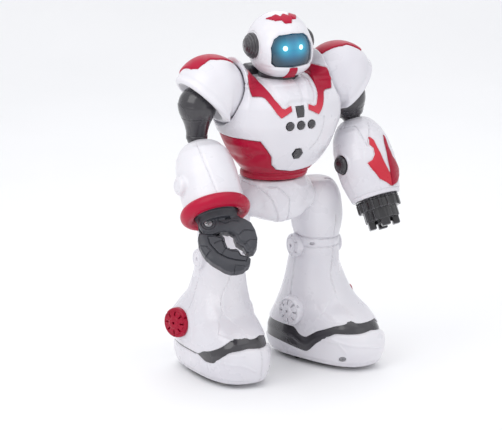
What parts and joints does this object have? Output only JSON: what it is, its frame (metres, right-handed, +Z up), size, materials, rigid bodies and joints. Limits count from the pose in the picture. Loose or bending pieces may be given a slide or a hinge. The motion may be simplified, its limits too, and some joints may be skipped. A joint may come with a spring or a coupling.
{
  "type": "toy robot",
  "caption": "Walking toy robot in white and red moulded plastic, with a lit visor, ball shoulders, a claw hand, a barrel arm, push buttons on the chest and wheels under wide feet.",
  "frame": {"origin": "on the ground under the waist pivot, between the feet", "axes": "+Z up, -Y the way the robot faces, +X its left side"},
  "size_m": [0.2498, 0.1751, 0.3675],
  "materials": {
    "white_shell": "moulded gloss ABS",
    "red_shell": "moulded gloss ABS",
    "dark_plastic": "satin ABS",
    "visor_gloss": "smoked, polished",
    "eye_glow": "lit lens",
    "steel": "zinc plated",
    "gear_plastic": "acetal",
    "rubber": "matt",
    "circuit_board": "solder mask",
    "battery_wrap": "shrink wrap",
    "speaker_frame": "moulded frame, paper cone"
  },
  "bodies": {
    "legs": {"pelvis_shell": "white_shell", "right_leg_shell": "white_shell", "left_leg_shell": "white_shell", "right_foot_shell": "white_shell", "left_foot_shell": "white_shell", "instep_bands": "dark_plastic", "sole_plates": "dark_plastic", "drive_motors": "steel", "glide_pads": "rubber", "sole_screws": "steel", "knee_discs": "white_shell", "inner_ankle_discs": "white_shell", "outer_ankle_discs": "red_shell"},
    "torso": {"chest_front": "white_shell", "chest_back": "white_shell", "battery_door": "white_shell", "battery_door_screw": "steel", "waist_shell": "red_shell", "waist_shaft": "dark_plastic", "chest_stripes": "red_shell", "sensor_window": "dark_plastic", "neck_collar": "dark_plastic", "control_board": "circuit_board", "speaker": "speaker_frame", "battery_pack": "battery_wrap", "arm_gearboxes": "dark_plastic"},
    "head": {"helmet_shell": "white_shell", "face_jaw": "white_shell", "visor": "visor_gloss", "eye_lenses": "eye_glow", "head_trim": "red_shell", "ear_discs": "dark_plastic", "neck_shaft": "dark_plastic", "eye_board": "circuit_board"},
    "right_arm": {"right_shoulder_pad": "white_shell", "right_shoulder_cap": "red_shell", "right_upper_arm": "dark_plastic"},
    "left_arm": {"left_shoulder_pad": "white_shell", "left_shoulder_cap": "red_shell", "left_upper_arm": "dark_plastic"},
    "right_forearm": {"right_forearm_shell": "white_shell", "wrist_ring": "red_shell", "claw_palm": "dark_plastic", "claw_pivot_screw": "steel"},
    "jaw": {"claw_jaw": "dark_plastic"},
    "left_forearm": {"left_forearm_shell": "white_shell", "forearm_inlay": "red_shell"},
    "knob": {"launch_knob": "dark_plastic"},
    "barrel": {"barrel": "dark_plastic"},
    "right_button": {"right_chest_button": "dark_plastic"},
    "middle_button": {"middle_chest_button": "dark_plastic"},
    "left_button": {"left_chest_button": "dark_plastic"},
    "hex_button": {"hex_button": "dark_plastic"},
    "switch": {"power_switch": "dark_plastic"},
    "right_drive": {"right_drive_axle": "steel", "right_drive_wheels": "rubber"},
    "left_drive": {"left_drive_axle": "steel", "left_drive_wheels": "rubber"},
    "right_pinion": {"right_motor_pinion": "gear_plastic"},
    "left_pinion": {"left_motor_pinion": "gear_plastic"}
  },
  "joints": [
    {"name": "waist_turn", "type": "hinge", "parent": "legs", "child": "torso", "pos_m": [0, 0, 0.19], "axis": [0, 0, 1], "range_deg": [-20, 20]},
    {"name": "head_turn", "type": "hinge", "parent": "torso", "child": "head", "pos_m": [0, -0.013, 0.305], "axis": [0, 0, 1], "range_deg": [-45, 45]},
    {"name": "right_shoulder_swing", "type": "hinge", "parent": "torso", "child": "right_arm", "pos_m": [-0.072, -0.005, 0.293], "axis": [-1, 0, 0], "range_deg": [0, 120]},
    {"name": "left_shoulder_swing", "type": "hinge", "parent": "torso", "child": "left_arm", "pos_m": [0.072, -0.005, 0.293], "axis": [-1, 0, 0], "range_deg": [0, 120]},
    {"name": "right_forearm_twist", "type": "hinge", "parent": "right_arm", "child": "right_forearm", "pos_m": [-0.088, -0.01, 0.242], "axis": [-0.07, -0.6152, -0.7853], "range_deg": [-90, 90]},
    {"name": "left_forearm_twist", "type": "hinge", "parent": "left_arm", "child": "left_forearm", "pos_m": [0.086, -0.01, 0.2484], "axis": [0.09, -0.4402, -0.8934], "range_deg": [-90, 90]},
    {"name": "claw_open", "type": "hinge", "parent": "right_forearm", "child": "jaw", "pos_m": [-0.10384, -0.06109, 0.17111], "axis": [0.3392, 0.7256, -0.5987], "range_deg": [0, 30]},
    {"name": "barrel_spin", "type": "hinge", "parent": "left_forearm", "child": "barrel", "pos_m": [0.086, -0.01, 0.2484], "axis": [0.09, -0.4402, -0.8934], "continuous": true},
    {"name": "launch_knob_press", "type": "slide", "parent": "left_forearm", "child": "knob", "axis": [0.9882, 0.1511, 0.0251], "range_m": [0, 0.002], "stiffness_N_per_m": 400},
    {"name": "right_button_press", "type": "slide", "parent": "torso", "child": "right_button", "axis": [0, 1, 0], "range_m": [0, 0.0015], "stiffness_N_per_m": 400},
    {"name": "middle_button_press", "type": "slide", "parent": "torso", "child": "middle_button", "axis": [0, 1, 0], "range_m": [0, 0.0015], "stiffness_N_per_m": 400},
    {"name": "left_button_press", "type": "slide", "parent": "torso", "child": "left_button", "axis": [0, 1, 0], "range_m": [0, 0.0015], "stiffness_N_per_m": 400},
    {"name": "hex_button_press", "type": "slide", "parent": "torso", "child": "hex_button", "axis": [0, 1, 0], "range_m": [0, 0.0015], "stiffness_N_per_m": 400},
    {"name": "power_switch_slide", "type": "slide", "parent": "torso", "child": "switch", "axis": [1, 0, 0], "range_m": [0, 0.0024]},
    {"name": "right_drive_spin", "type": "hinge", "parent": "legs", "child": "right_drive", "pos_m": [-0.05579, 0.0189, 0.008], "axis": [0.9925, -0.1219, 0], "continuous": true},
    {"name": "right_pinion_spin", "type": "hinge", "parent": "legs", "child": "right_pinion", "pos_m": [-0.05575, 0.01923, 0.01756], "axis": [0.9925, -0.1219, 0], "continuous": true},
    {"name": "left_drive_spin", "type": "hinge", "parent": "legs", "child": "left_drive", "pos_m": [0.05491, 0.01839, 0.008], "axis": [0.9563, 0.2924, 0], "continuous": true},
    {"name": "left_pinion_spin", "type": "hinge", "parent": "legs", "child": "left_pinion", "pos_m": [0.05481, 0.01871, 0.01756], "axis": [0.9563, 0.2924, 0], "continuous": true}
  ],
  "couplings": [
    {"joint": "right_pinion_spin", "follows": "right_drive_spin", "ratio": -2},
    {"joint": "left_pinion_spin", "follows": "left_drive_spin", "ratio": -2}
  ]
}
